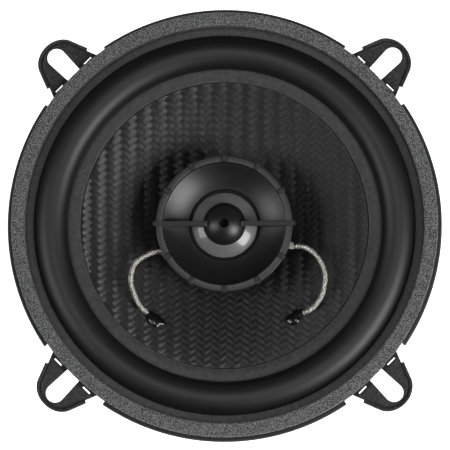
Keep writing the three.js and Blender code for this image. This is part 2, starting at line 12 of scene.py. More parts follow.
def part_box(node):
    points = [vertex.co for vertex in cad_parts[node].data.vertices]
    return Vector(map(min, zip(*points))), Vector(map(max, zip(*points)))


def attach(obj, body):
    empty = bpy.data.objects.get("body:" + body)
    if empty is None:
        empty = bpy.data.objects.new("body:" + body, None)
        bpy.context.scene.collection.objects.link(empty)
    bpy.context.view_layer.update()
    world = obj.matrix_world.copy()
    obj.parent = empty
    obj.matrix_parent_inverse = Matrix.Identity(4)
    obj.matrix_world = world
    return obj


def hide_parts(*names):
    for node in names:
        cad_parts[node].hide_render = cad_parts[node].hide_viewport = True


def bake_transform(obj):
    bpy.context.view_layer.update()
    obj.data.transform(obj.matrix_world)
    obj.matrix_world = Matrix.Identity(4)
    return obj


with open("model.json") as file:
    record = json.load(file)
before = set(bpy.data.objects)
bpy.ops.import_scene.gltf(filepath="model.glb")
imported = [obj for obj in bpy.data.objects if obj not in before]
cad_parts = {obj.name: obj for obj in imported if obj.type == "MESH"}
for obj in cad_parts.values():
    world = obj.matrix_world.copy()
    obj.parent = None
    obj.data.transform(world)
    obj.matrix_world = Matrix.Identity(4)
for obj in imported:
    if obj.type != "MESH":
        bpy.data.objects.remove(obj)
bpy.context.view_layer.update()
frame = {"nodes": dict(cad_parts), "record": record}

MM = 0.001
TURN = 2 * math.pi
GENTLE_BEND = math.radians(14)


# Sizes, read from the frame where a node's box gives them.

def top(node):
    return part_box(node)[1].z / MM


def bottom(node):
    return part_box(node)[0].z / MM


def reach(node):
    """Outer radius of a node that is centred on the axis."""
    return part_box(node)[1].x / MM


SHEET = 0.9
FLANGE_R = reach("basket")
FLANGE_TOP = top("basket")
LIP_DEPTH = 3.0
FLOOR_TOP = bottom("basket") + SHEET
BASKET_BORE_R = 17.0
FLOOR_R = 32.0
WALL_TOP_R = 33.4
LEDGE_TOP = 30.4
LEDGE_R = 39.5
LANDING_R = 56.6
LANDING_TOP = 44.4
STEP_R = 61.6
LEGS = 8
TABS = 4

GASKET_R = (60.5, reach("gasket_ring"))
GASKET_Z = (bottom("gasket_ring"), top("gasket_ring"))
GASKET_SKIRT_R = 61.3
GASKET_INSET = 0.45

ROLL_R = (47.8, 57.9)
ROLL_HEIGHT = 4.3
BAND_TOP = GASKET_Z[0] - 0.05
RUBBER = 0.7
WEAVE_R = 43.9
CONE_EDGE_TOP = top("cone")
CONE_RIM_R = reach("cone")
CONE_NECK_R = 13.25
CONE_NECK_TOP = 32.2
CONE_SHEET = 0.5
CONE_FLARE = 1.15
COLUMN_PITCH = 4.6
ROW_PITCH = 2.14
TOW_HEIGHT = 0.12
FILAMENTS = 8
FIBRE_RELIEF = 0.04

HORN_MOUTH_R = reach("tweeter_waveguide")
HORN_MOUTH_TOP = top("tweeter_waveguide")
HORN_THROAT_R = 11.3
HORN_THROAT_TOP = 44.9
HORN_CURVE = 0.45
BEZEL_R = (18.62, 20.8)
BEZEL_Z = (bottom("tweeter_bezel"), 49.4)
LAND_TOP = 49.75
BAR_START = 5.1
BULLET_HOLE_R = 1.5
DOME_R = reach("tweeter_dome")
DOME_EDGE = 43.9
DOME_HEIGHT = 3.05
LEAD_R = 0.8


# Meshes.

def new_object(name, points, faces):
    mesh = bpy.data.meshes.new(name)
    mesh.from_pydata((np.asarray(points, float) * MM).tolist(), [], faces)
    mesh.validate()
    obj = bpy.data.objects.new(name, mesh)
    bpy.context.scene.collection.objects.link(obj)
    return obj


def smooth(obj, degrees):
    obj.data.shade_smooth()
    obj.data.set_sharp_from_angle(angle=math.radians(degrees))


def anticlockwise(outline):
    """The closed outline as a list that turns anticlockwise."""
    ring = np.array(outline)
    after = np.roll(ring, -1, axis=0)
    area = np.sum(ring[:, 0] * after[:, 1] - after[:, 0] * ring[:, 1])
    return list(outline[::-1] if area < 0 else outline)


def net(rows, across, wrap_rows=False, wrap_across=True, flip=False):
    """Faces between neighbouring rows of points that are listed row after row."""
    faces = []
    for i in range(rows if wrap_rows else rows - 1):
        low, high = i * across, (i + 1) % rows * across
        for k in range(across if wrap_across else across - 1):
            after = (k + 1) % across
            face = (low + k, low + after, high + after, high + k)
            faces.append(face[::-1] if flip else face)
    return faces


def revolve(outline, sides):
    """Points and faces of an outline of (radius, z) turned round the axis. The outline closes on
    itself, or starts and ends on the axis."""
    ring = anticlockwise(outline)
    while ring[0][0] == 0 and ring[-1][0] != 0:
        ring = ring[1:] + ring[:1]
    solid = ring[0][0] == 0 or ring[-1][0] == 0
    if solid and ring[0][0] != 0:
        ring = ring[-1:] + ring[:-1]
    body = [p for p in ring if p[0] > 0]
    angles = np.arange(sides) * TURN / sides
    r, z = np.array(body).T
    points = np.stack(
        [np.outer(np.cos(angles), r), np.outer(np.sin(angles), r), np.tile(z, (sides, 1))], -1
    ).reshape(-1, 3).tolist()
    count = len(body)
    faces = net(sides, count, wrap_rows=True, wrap_across=not solid, flip=True)
    if solid:
        poles = [p for p in ring if p[0] == 0]
        low, high = len(points), len(points) + 1
        points += [(0, 0, poles[0][1]), (0, 0, poles[-1][1])]
        for i in range(sides):
            a, b = i * count, (i + 1) % sides * count
            faces.append((low, b, a))
            faces.append((high, a + count - 1, b + count - 1))
    return points, faces


def arc(centre, radii, start, end, steps):
    """Points of an elliptical arc between two angles in degrees."""
    turns = np.radians(np.linspace(start, end, steps + 1))
    return [(centre[0] + radii[0] * math.cos(t), centre[1] + radii[1] * math.sin(t)) for t in turns]


def rounded(outline, size, steps=4, closed=True):
    """The outline with its corners rounded off. Gentle bends and points on the axis stay."""
    done = []
    count = len(outline)
    for k, corner in enumerate(outline):
        before, here = Vector(outline[k - 1]), Vector(corner)
        after = Vector(outline[(k + 1) % count])
        ends = not closed and k in (0, count - 1)
        into, out = here - before, after - here
        if ends or corner[0] == 0 or into.angle(out, 0) < GENTLE_BEND:
            done.append(tuple(corner))
            continue
        cut = min(size, 0.45 * into.length, 0.45 * out.length)
        start, end = here - cut * into.normalized(), here + cut * out.normalized()
        for step in range(steps + 1):
            t = step / steps
            done.append(tuple((1 - t) ** 2 * start + 2 * t * (1 - t) * here + t * t * end))
    return done


def offset_line(line, distance):
    """The open line's copy at a distance to its right."""
    points = [Vector(p) for p in line]
    along = [(b - a).normalized() for a, b in zip(points, points[1:])]
    normals = [Vector((d.y, -d.x)) for d in along]
    copy = []
    for k, point in enumerate(points):
        before, after = normals[max(k - 1, 0)], normals[min(k, len(normals) - 1)]
        mitre = (before + after) / (1 + before.dot(after))
        copy.append(tuple(point + distance * mitre))
    return copy


def sheet(line, thickness):
    """The closed outline of a sheet whose front face is the line."""
    return list(line) + offset_line(line, thickness)[::-1]


def plate(outline, low, high, edge=0.0):
    """Points and faces of a flat plate with rounded edges, from an outline of (x, y)."""
    ring = anticlockwise(outline)
    closed = ring + ring[:1]
    if edge:
        steps = 3
        turns = [math.pi / 2 * k / steps for k in range(steps + 1)]
        down = [(edge * (1 - math.sin(t)), low + edge * (1 - math.cos(t))) for t in turns]
        levels = down + [(inset, low + high - z) for inset, z in down[::-1]]
    else:
        levels = [(0.0, low), (0.0, high)]
    points, count = [], len(ring)
    for inset, z in levels:
        around = offset_line([closed[-2]] + closed + [closed[1]], -inset)[1:-2]
        points += [(x, y, z) for x, y in around]
    faces = net(len(levels), count)
    last = (len(levels) - 1) * count
    faces.append(tuple(range(count))[::-1])
    faces.append(tuple(range(last, last + count)))
    return points, faces


def rail(line, section):
    """Points and faces of a bar along an open line in the XY plane. Its section is a closed outline
    of (distance to the line's right, z)."""
    ring = anticlockwise(section)
    points = [(x, y, z) for side, z in ring for x, y in offset_line(line, side)]
    count = len(line)
    faces = net(len(ring), count, wrap_rows=True, wrap_across=False)
    start = tuple(k * count for k in range(len(ring)))
    faces += [start, tuple(k + count - 1 for k in start)[::-1]]
    return points, faces


def moved(shape, matrix):
    points, faces = shape
    return [tuple(matrix @ Vector(p)) for p in points], faces


def together(*shapes):
    """Several shapes as one, each still a closed body of its own."""
    points, faces = [], []
    for own_points, own_faces in shapes:
        start = len(points)
        points += list(own_points)
        faces += [tuple(start + k for k in face) for face in own_faces]
    return points, faces


def rectangle(half_x, half_y):
    return [(-half_x, -half_y), (half_x, -half_y), (half_x, half_y), (-half_x, half_y)]


def block(size, edge):
    half = [s / 2 for s in size]
    return plate(rounded(rectangle(*half[:2]), edge, 3), -half[2], half[2], edge)


def smooth_line(points, spacing):
    """Evenly spaced points on a smooth line through the points, and how far along each is."""
    p = np.array([points[0]] + list(points) + [points[-1]], float)
    p[0] = 2 * p[1] - p[2]
    p[-1] = 2 * p[-2] - p[-3]
    steps = 24
    t = np.linspace(0, 1, steps, endpoint=False)[:, None]
    pieces = []
    for a, b, c, d in zip(p, p[1:], p[2:], p[3:]):
        cubic = 2 * b + (c - a) * t + (2 * a - 5 * b + 4 * c - d) * t**2
        pieces.append(0.5 * (cubic + (3 * b - a - 3 * c + d) * t**3))
    fine = np.concatenate(pieces + [p[-2:-1]])
    run = np.concatenate([[0], np.cumsum(np.linalg.norm(np.diff(fine, axis=0), axis=1))])
    even = np.linspace(0, run[-1], max(2, round(run[-1] / spacing)) + 1)
    return np.stack([np.interp(even, run, fine[:, k]) for k in range(3)], -1), even


def frames_along(line):
    """Two directions square to the line at each of its points, without twist."""
    along = np.gradient(line, axis=0)
    along /= np.linalg.norm(along, axis=1)[:, None]
    side = np.cross(along[0], (0, 0, 1))
    sides = []
    for ahead in along:
        side = side - ahead * np.dot(side, ahead)
        side = side / np.linalg.norm(side)
        sides.append(side)
    sides = np.array(sides)
    return sides, np.cross(along, sides)


def tube(line, radius, around):
    """Points and faces of a round tube along a line, with flat ends."""
    line = np.asarray(line, float)
    sides, ups = frames_along(line)
    turns = np.arange(around) * TURN / around
    across = np.cos(turns)[None, :, None] * sides[:, None]
    up = np.sin(turns)[None, :, None] * ups[:, None]
    points = (line[:, None] + radius * (across + up)).reshape(-1, 3).tolist()
    last = (len(line) - 1) * around
    caps = [tuple(range(around))[::-1], tuple(range(last, last + around))]
    return points, net(len(line), around) + caps


def settle(obj):
    """Makes the result of the object's modifiers its own plain mesh."""
    ready = obj.evaluated_get(bpy.context.evaluated_depsgraph_get())
    mesh = bpy.data.meshes.new_from_object(ready)
    obj.modifiers.clear()
    obj.data = mesh
    return obj


def combined(base, others, operation):
    """The base object joined with, or cut by, the other objects, which are used up."""
    for other in others:
        modifier = base.modifiers.new("combine", "BOOLEAN")
        modifier.operation, modifier.solver, modifier.object = operation, "MANIFOLD", other
    settle(base)
    for other in others:
        bpy.data.objects.remove(other)
    return base


# Node trees.

class Value:
    """A socket of a node tree. Python's operators on it add the Math nodes."""

    def __init__(self, tree, socket=None):
        self.tree, self.socket = tree, socket

    def node(self, kind, settings=None, inputs=None, output=0):
        """Adds a node with its settings and the values or links of its sockets."""
        made = self.tree.nodes.new(kind)
        for name, value in (settings or {}).items():
            setattr(made, name, value)
        for key, value in (inputs or {}).items():
            if isinstance(value, Value):
                self.tree.links.new(value.socket, made.inputs[key])
            else:
                made.inputs[key].default_value = value
        return Value(self.tree, made.outputs[output])

    def math(self, operation, *others):
        sockets = dict(enumerate((self, *others)))
        return self.node("ShaderNodeMath", {"operation": operation}, sockets)

    __add__ = __radd__ = partialmethod(math, "ADD")
    __sub__ = partialmethod(math, "SUBTRACT")
    __mul__ = __rmul__ = partialmethod(math, "MULTIPLY")
    __truediv__ = partialmethod(math, "DIVIDE")
    __mod__ = partialmethod(math, "FLOORED_MODULO")
    __pow__ = partialmethod(math, "POWER")
    absolute = partialmethod(math, "ABSOLUTE")
    root = partialmethod(math, "SQRT")
    floor = partialmethod(math, "FLOOR")
    sine = partialmethod(math, "SINE")
    below = partialmethod(math, "LESS_THAN")
    above = partialmethod(math, "GREATER_THAN")

    def __rsub__(self, other):
        return self * -1 + other

    def between(self, low, high):
        """0 under low and 1 over high, with a smooth step between them."""
        settings = {"interpolation_type": "SMOOTHSTEP"}
        return self.node("ShaderNodeMapRange", settings, {"Value": self, 1: low, 2: high})

    def inside(self, edge):
        """1 between 0 and 1, with smooth steps that are edge wide inside both ends."""
        return self.between(0.0, edge) * (1 - self.between(1 - edge, 1.0))

    def choose(self, yes, no):
        """yes where this value is 1, and no where it is 0."""
        return self * yes + (1 - self) * no


def parts_of(vector):
    """x, y and z of a vector socket, in millimetres."""
    return [vector.node("ShaderNodeSeparateXYZ", None, {0: vector}, k) * (1 / MM) for k in range(3)]


def distance_from_axis(x, y):
    return (x * x + y * y).root()


def twill(x, y, column, row):
    """A herringbone of two sets of tows, which cross over two and under two: whether the first set
    is on top, the place across the upper tow, the place along its float, and both sets' places."""
    first, second = x * 2 / column + y / row, x * 2 / column - y / row
    step = (first.floor() + second.floor()) % 4
    upper = step.below(2)
    across = upper.choose(first % 1, second % 1)
    along = upper.choose(step + second % 1, step - 2 + first % 1) * 0.5
    return upper, across, along, first, second


def tow_height(across, along):
    """Height of the upper tow: a flat band with steep sides, which arches over its float."""
    band = across.inside(0.2)
    arch = 1 - (along * 2 - 1) ** 2 * 0.8
    return band * arch


class Finish:
    """A material under construction: its node tree, its coordinates and its shader."""

    def __init__(self, name, color, roughness, metallic=0.0, **fixed):
        self.material = bpy.data.materials.new(name)
        self.material.use_nodes = True
        self.material.diffuse_color = (*color, 1)
        self.tree = self.material.node_tree
        self.shader = self.tree.nodes["Principled BSDF"]
        fixed |= {"Base_Color": (*color, 1), "Roughness": roughness, "Metallic": metallic}
        for socket, value in fixed.items():
            self.shader.inputs[socket.replace("_", " ")].default_value = value
        self.place = Value(self.tree).node("ShaderNodeTexCoord", output="Object")
        self.x, self.y, self.z = parts_of(self.place)

    def noise(self, size, detail=3.0, roughness=0.5, stretch=None):
        """Noise from 0 to 1 whose features are about size millimetres across."""
        place = self.place
        if stretch:
            settings = {"operation": "MULTIPLY"}
            place = place.node("ShaderNodeVectorMath", settings, {0: place, 1: stretch})
        inputs = {"Vector": place, "Scale": 1 / (size * MM), "Detail": detail}
        inputs["Roughness"] = roughness
        return place.node("ShaderNodeTexNoise", None, inputs)

    def threads(self, pitch):
        """The relief of a plain cloth, from 0 to 1, with threads along x and y."""
        return (self.x * (TURN / pitch)).sine() * (self.y * (TURN / pitch)).sine() * 0.5 + 0.5

    def mix(self, share, one, two):
        """A colour between two colours. A bare number is a grey."""
        pair = []
        for shade in (one, two):
            if isinstance(shade, float):
                shade = (shade, shade, shade)
            pair.append(shade if isinstance(shade, Value) else (*shade, 1))
        settings = {"data_type": "RGBA"}
        return share.node("ShaderNodeMix", settings, {0: share, 6: pair[0], 7: pair[1]}, 2)

    def radius(self):
        return distance_from_axis(self.x, self.y)

    def feed(self, socket, value):
        self.tree.links.new(value.socket, self.shader.inputs[socket])

    def done(self, tone=None, roughness=None, relief=None, depth=0.0, strength=0.5):
        """The material, fed with what is given. A relief from 0 to 1 is depth millimetres high."""
        if tone:
            self.feed("Base Color", tone)
        if roughness:
            self.feed("Roughness", roughness)
        if relief:
            inputs = {"Height": relief, "Distance": depth * MM, "Strength": strength}
            self.feed("Normal", relief.node("ShaderNodeBump", None, inputs))
        return self.material


def coated_steel():
    look = Finish("black_coated_steel", (0.012, 0.012, 0.013), 0.5)
    grain, patch = look.noise(0.5, 4), look.noise(7, 2)
    r, lip_start = look.radius(), 64.6
    # Painted shade: the flange's outer lip, from lip_start outwards, is painted near black for the
    # shade on its bend and beside the gasket. It is also made rougher.
    lip = r.above(lip_start) * r.below(FLANGE_R + 0.1)
    tone = look.mix(grain.between(0.42, 0.68), 0.002, (0.036, 0.036, 0.037))
    roughness = grain * 0.3 + patch * 0.12 + 0.32 + lip * 0.2
    return look.done(look.mix(lip, tone, 0.002), roughness, grain, 0.3, 0.8)


def gasket_board():
    look = Finish("grainy_gasket", (0.09, 0.09, 0.092), 0.55)
    grain, patch = look.noise(0.36, 2, 0.6), look.noise(3, 3)
    # The grain's tone follows its relief. The lighter grain tops are painted glints, and the darker
    # pits are painted shade in the hollows.
    painted_glint_tops, painted_pit_shade = grain.between(0.42, 0.62), 1 - grain.between(0.3, 0.46)
    tone = look.mix(painted_pit_shade, look.mix(painted_glint_tops, 0.024, (0.21, 0.21, 0.214)), 0.006)
    return look.done(tone, 0.6 - painted_glint_tops * 0.25 + patch * 0.1, grain, 0.5, 0.8)


def butyl_rubber():
    """Smooth on the roll, mottled on the flat rings beside it, with painted highlights along the
    edges of the inner one.
    """
    look = Finish("butyl_rubber", (0.009, 0.009, 0.0095), 0.42)
    fine, cloud, mottle = look.noise(0.35, 3), look.noise(5, 3), look.noise(1.3, 4, 0.65)
    r = look.radius()
    inner_flat, band = r.below(ROLL_R[0] - 0.1), r.above(ROLL_R[1] + 0.05)
    flat = inner_flat + band
    # Painted highlight: pale rings near both edges of the inner flat ring stand for the light that
    # its edges catch.
    edge = (r - (WEAVE_R + ROLL_R[0]) / 2).absolute().between(1.55, 1.9) * inner_flat
    rubber = look.mix(cloud, 0.005, (0.008, 0.008, 0.0082))
    matte = look.mix(mottle.between(0.35, 0.65), 0.009, (0.034, 0.034, 0.035))
    tone = look.mix(edge * 0.5, look.mix(flat, rubber, matte), (0.09, 0.09, 0.092))
    roughness = fine * 0.06 + cloud * 0.05 + 0.42 + flat * (mottle * 0.2 - 0.12)
    return look.done(tone, roughness, fine * (1 - flat) * 0.3 + mottle * flat, 0.1)


def woven_fibre():
    """Tows of fine fibres, glossy along their middles and matte in the seams between them. A thin
    ring at the outer edge, under the surround's flange, is painted dark and matte as the flange's
    shadow.
    """
    look = Finish("herringbone_fibre", (0.01, 0.01, 0.011), 0.36, IOR=1.6)
    upper, across, along, first, second = twill(look.x, look.y, COLUMN_PITCH, ROW_PITCH)
    r, painted_shadow_width = look.radius(), 0.3
    over, run = upper.choose(first, second), upper.choose(second, first)
    stretched = {0: over * FILAMENTS, 1: run * 0.12, 2: upper * 7}
    where = look.place.node("ShaderNodeCombineXYZ", None, stretched)
    inputs = {"Vector": where, "Scale": 1.0, "Detail": 1.0}
    fibres = look.place.node("ShaderNodeTexNoise", None, inputs)
    # Painted shadow: a ring at the weave's outer edge is left out of the tow faces, so it is
    # painted dark and made rough.
    face = across.inside(0.09) * along.inside(0.06) * r.below(WEAVE_R - painted_shadow_width)
    tone = look.mix(fibres * face, 0.0005, (0.007, 0.007, 0.0073))
    ridges = (over * (FILAMENTS * TURN)).sine()
    relief = (ridges * 0.42 + fibres * 0.15) * r.below(WEAVE_R + 0.2)
    return look.done(tone, fibres * 0.06 + 0.9 - face * 0.56, relief, FIBRE_RELIEF, 1.0)


def spider_cloth():
    look = Finish("spider_cloth", (0.42, 0.25, 0.09), 0.85)
    weft = look.threads(0.8)
    tone = look.mix(look.noise(6, 4) * 0.7 + weft * 0.3, (0.3, 0.16, 0.05), (0.52, 0.33, 0.13))
    return look.done(tone, None, weft, 0.12, 0.7)


def former_film():
    look = Finish("former_film", (0.22, 0.09, 0.03), 0.35)
    streak = look.noise(1.5, 3, stretch=(1, 1, 0.15))
    tone = look.mix(streak, (0.14, 0.05, 0.015), (0.3, 0.13, 0.04))
    return look.done(tone, None, streak, 0.03, 0.4)


def copper_wire():
    look = Finish("copper_winding", (0.6, 0.24, 0.1), 0.3, 0.9)
    wire = 0.28
    turns = (look.z * (TURN / wire)).sine() * 0.5 + 0.5
    tone = look.mix(turns, (0.25, 0.08, 0.03), (0.72, 0.3, 0.13))
    return look.done(tone, look.noise(2, 2) * 0.2 + 0.22, turns, 0.08, 0.9)


def zinc_plate():
    look = Finish("zinc_plate", (0.25, 0.255, 0.265), 0.36, 0.9)
    spangle, scratch = look.noise(3.0, 4, 0.6), look.noise(0.6, 3, stretch=(1, 6, 1))
    tone = look.mix(spangle, (0.18, 0.185, 0.195), (0.3, 0.305, 0.315))
    roughness = spangle * 0.2 + scratch * 0.14 + 0.24
    return look.done(tone, roughness, scratch * 0.5 + spangle * 0.5, 0.03)


def ferrite():
    look = Finish("sintered_ferrite", (0.03, 0.03, 0.032), 0.6)
    grain, chip = look.noise(0.5, 5, 0.7), look.noise(3.5, 3).between(0.62, 0.72)
    tone = look.mix(grain, (0.018, 0.018, 0.02), (0.05, 0.05, 0.053))
    return look.done(tone, grain * 0.25 + 0.42 - chip * 0.12, grain * 0.6 - chip * 0.4, 0.1)


def moulded_black():
    """Satin, with rougher tops on the ribs and bars, and the bullet's hole painted dead black and
    rough as painted shade.
    """
    look = Finish("satin_moulding", (0.009, 0.009, 0.0095), 0.34)
    grain, cloud, r = look.noise(0.3, 2), look.noise(4, 2), look.radius()
    # Painted shade: inside the bullet's hole the moulding is painted dead black and made rough.
    hole = r.below(BULLET_HOLE_R + 0.02)
    lands = look.z.above(LAND_TOP - 0.03) * r.above(BAR_START)
    skin = look.mix(cloud, (0.007, 0.007, 0.0075), (0.012, 0.012, 0.0125))
    roughness = grain * 0.06 + cloud * 0.05 + 0.31 + hole * 0.55 + lands * 0.2
    return look.done(look.mix(hole, skin, 0.0005), roughness, grain, 0.02, 0.35)


def silk():
    look = Finish("coated_silk", (0.08, 0.08, 0.082), 0.45, Sheen_Weight=0.15, Coat_Roughness=0.11)
    threads, cloud = look.threads(0.62), look.noise(0.9, 3)
    look.feed("Coat Weight", cloud * 0.2 + 0.8)
    tone = look.mix(threads * 0.7 + cloud * 0.3, (0.01, 0.01, 0.0102), (0.24, 0.24, 0.245))
    return look.done(tone, threads * 0.12 + cloud * 0.1 + 0.3, threads, 0.06, 0.7)


def black_silk():
    # Black silk for the dome's suspension ring. It is made darker still than the dome's silk,
    # partly as painted shade in the gap under the horn's throat.
    look = Finish("black_silk_roll_with_gap_shade", (0.003, 0.003, 0.003), 0.7, Specular_IOR_Level=0.25)
    cloud = look.noise(0.6, 3)
    return look.done(look.mix(cloud, 0.001, 0.004), None, cloud, 0.04)


def tinsel():
    look = Finish("braided_tinsel", (0.5, 0.47, 0.4), 0.38, 0.85)
    glint = look.noise(0.22, 3, 0.7)
    # Painted shade: the gaps between the strands, and the core tube inside them, are painted dark
    # by the stored depth.
    settings = {"attribute_name": "strand_depth_for_gap_shade"}
    depth = look.place.node("ShaderNodeAttribute", settings, None, "Fac")
    strand = look.mix(glint.between(0.3, 0.7), (0.4, 0.385, 0.34), (0.74, 0.73, 0.67))
    tone = look.mix(depth.between(0.2, 0.75), (0.06, 0.054, 0.042), strand)
    return look.done(tone, glint * 0.3 + 0.22, glint, 0.04, 0.6)


def glue():
    look = Finish("rubber_glue", (0.006, 0.006, 0.006), 0.1, Coat_Roughness=0.05)
    ripple = look.noise(1.6, 3)
    look.feed("Coat Weight", ripple * 0.4 + 0.4)
    return look.done(None, ripple * 0.12 + 0.16, ripple, 0.12)


def board_paper():
    look = Finish("phenolic_board", (0.14, 0.05, 0.018), 0.55)
    pulp = look.noise(1.2, 5, 0.6, stretch=(0.5, 1.6, 1.6))
    tone = look.mix(pulp, (0.09, 0.03, 0.01), (0.2, 0.08, 0.03))
    return look.done(tone, pulp * 0.25 + 0.38, pulp, 0.05)


def tinned_brass():
    look = Finish("tinned_brass", (0.36, 0.36, 0.34), 0.4, 0.8)
    wipe = look.noise(1.4, 4, stretch=(0.35, 1, 1))
    tone = look.mix(wipe, (0.26, 0.255, 0.235), (0.44, 0.44, 0.42))
    return look.done(tone, wipe * 0.25 + 0.3, wipe, 0.03)


def neodymium():
    look = Finish("nickel_plate", (0.5, 0.51, 0.52), 0.2, 1.0)
    haze = look.noise(2, 3)
    return look.done(look.mix(haze, (0.44, 0.45, 0.46), (0.58, 0.59, 0.6)), haze * 0.2 + 0.1)


def sleeve():
    look = Finish("blue_sleeve", (0.02, 0.05, 0.15), 0.3)
    wrinkle = look.noise(2.2, 3, stretch=(0.4, 1, 1))
    tone = look.mix(wrinkle, (0.012, 0.035, 0.11), (0.03, 0.07, 0.2))
    return look.done(tone, wrinkle * 0.15 + 0.2, wrinkle, 0.06)


FINISHES = (
    black_silk, coated_steel, gasket_board, butyl_rubber, woven_fibre, spider_cloth, former_film,
    copper_wire, zinc_plate, ferrite, moulded_black, silk, tinsel, glue, board_paper,
    tinned_brass, neodymium, sleeve,
)
LOOKS = {finish.__name__: finish() for finish in FINISHES}
SLOT_OF = {part["node"]: part["material_slot"] for part in frame["record"]["subparts"]}


def dress(obj, slot):
    obj.data.materials.clear()
    obj.data.materials.append(LOOKS[slot])


def piece(obj, body, node, degrees=35):
    """Gives a finished mesh its look and its body, and hides the node that it stands for."""
    smooth(obj, degrees)
    dress(obj, SLOT_OF[node])
    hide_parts(node)
    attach(obj, body)
    return obj


def lathe(name, outline, body, node, sides, edge=0.0):
    shape = rounded(outline, edge) if edge else outline
    return piece(new_object(name, *revolve(shape, sides)), body, node)


# Geometry Nodes.

class Builder:
    """A Geometry Nodes tree with named inputs. Its result is made into a plain mesh."""

    def __init__(self, name, sizes):
        self.tree = bpy.data.node_groups.new(name, "GeometryNodeTree")
        face = self.tree.interface
        for way in ("INPUT", "OUTPUT"):
            face.new_socket("Geometry", in_out=way, socket_type="NodeSocketGeometry")
        self.sizes = []
        for size, value in sizes.items():
            kind = "NodeSocketInt" if isinstance(value, int) else "NodeSocketFloat"
            socket = face.new_socket(size, in_out="INPUT", socket_type=kind)
            self.sizes.append((socket.identifier, value))
        self.start = self.tree.nodes.new("NodeGroupInput")
        self.empty = Value(self.tree)

    def given(self, name="Geometry"):
        return Value(self.tree, self.start.outputs[name])

    def shifted(self, offset):
        inputs = {"Geometry": self.given(), "Offset": offset}
        return self.empty.node("GeometryNodeSetPosition", None, inputs)

    def run(self, obj, result, slot):
        """Ends the tree, runs it on the object and keeps the mesh."""
        real = result.node("GeometryNodeRealizeInstances", None, {0: result})
        inputs = {"Geometry": real, "Material": LOOKS[slot]}
        dressed = real.node("GeometryNodeSetMaterial", None, inputs)
        end = self.tree.nodes.new("NodeGroupOutput")
        self.tree.links.new(dressed.socket, end.inputs[0])
        modifier = obj.modifiers.new(self.tree.name, "NODES")
        modifier.node_group = self.tree
        for identifier, value in self.sizes:
            modifier[identifier] = value
        return settle(obj)


def weave_relief(obj):
    """Lifts the cone's front face into the herringbone of its tows."""
    build = Builder("herringbone_relief", {
        "Column Pitch": COLUMN_PITCH,
        "Row Pitch": ROW_PITCH,
        "Tow Height": TOW_HEIGHT * MM,
        "Weave Radius": WEAVE_R,
    })
    x, y, _ = parts_of(build.empty.node("GeometryNodeInputPosition"))
    normal = build.empty.node("GeometryNodeInputNormal")
    facing = normal.node("ShaderNodeSeparateXYZ", None, {0: normal}, 2).above(0.2)
    _, across, along, _, _ = twill(x, y, build.given("Column Pitch"), build.given("Row Pitch"))
    inside = distance_from_axis(x, y).below(build.given("Weave Radius") - 0.25)
    lift = tow_height(across, along) * build.given("Tow Height") * facing * inside
    offset = lift.node("ShaderNodeCombineXYZ", None, {2: lift})
    return build.run(obj, build.shifted(offset), "woven_fibre")


def grain_relief(obj, size, height):
    """Roughens a surface along its normals."""
    build = Builder("gasket_grain_relief", {"Grain Size": size * MM, "Grain Height": height * MM})
    place = build.empty.node("GeometryNodeInputPosition")
    normal = build.empty.node("GeometryNodeInputNormal")
    inputs = {"Vector": place, "Scale": build.given("Grain Size") ** -1, "Detail": 2.0}
    grain = place.node("ShaderNodeTexNoise", None, inputs)
    lift = (grain - 0.5) * build.given("Grain Height") * 2
    settings = {"operation": "SCALE"}
    offset = place.node("ShaderNodeVectorMath", settings, {0: normal, "Scale": lift})
    return build.run(obj, build.shifted(offset), "gasket_board")


def round_copies(obj, count, radius, skip_every):
    """Copies of a small shape round the axis, which leave out every so many places."""
    build = Builder("copies_round_the_axis", {"Count": count, "Radius": radius * MM})
    circle = {"Vertices": build.given("Count"), "Radius": build.given("Radius")}
    ring = build.empty.node("GeometryNodeMeshCircle", None, circle)
    index = build.empty.node("GeometryNodeInputIndex")
    turn = index * TURN / build.given("Count")
    angles = index.node("ShaderNodeCombineXYZ", None, {2: turn})
    shown = (index % skip_every).above(0.5)
    inputs = {"Points": ring, "Selection": shown, "Instance": build.given(), "Rotation": angles}
    return build.run(obj, ring.node("GeometryNodeInstanceOnPoints", None, inputs), "moulded_black")


# Basket.

LEG_MIDDLE = ((LEDGE_R + LANDING_R) / 2, (LEDGE_TOP + LANDING_TOP) / 2)
LEG_SLOPE = math.atan2(LANDING_TOP - LEDGE_TOP, LANDING_R - LEDGE_R)


def on_wall(degrees):
    """Takes x round the basket's sloping wall, y up it and z away from the basket."""
    outward = Vector((math.sin(LEG_SLOPE), 0, -math.cos(LEG_SLOPE)))
    uphill = Vector((math.cos(LEG_SLOPE), 0, math.sin(LEG_SLOPE)))
    wall = Matrix((uphill.cross(outward), uphill, outward)).transposed().to_4x4()
    wall.translation = (LEG_MIDDLE[0], 0, LEG_MIDDLE[1])
    return turned(degrees) @ wall


def mirrored(line):
    return [(x, -y) for x, y in line[::-1]]


def basket_sheet():
    front = [(BASKET_BORE_R, FLOOR_TOP), (FLOOR_R, FLOOR_TOP), (WALL_TOP_R, LEDGE_TOP)]
    front += [(LEDGE_R, LEDGE_TOP), (LANDING_R, LANDING_TOP), (STEP_R, LANDING_TOP)]
    front += [(STEP_R, FLANGE_TOP), (FLANGE_R, FLANGE_TOP), (FLANGE_R, FLANGE_TOP - LIP_DEPTH)]
    bend = 1.3
    bent = rounded(front, bend, 5, closed=False)
    return new_object("basket_shell", *revolve(rounded(sheet(bent, SHEET), 0.2, 2), 240))


def window_shape():
    inner, outer, half, depth, corner = 9.4, 14.2, 6.45, 6, 3.2
    outline = [(-inner, -half), (inner, -half), (outer, half), (-outer, half)]
    return plate(rounded(outline, corner, 6), -depth, depth)


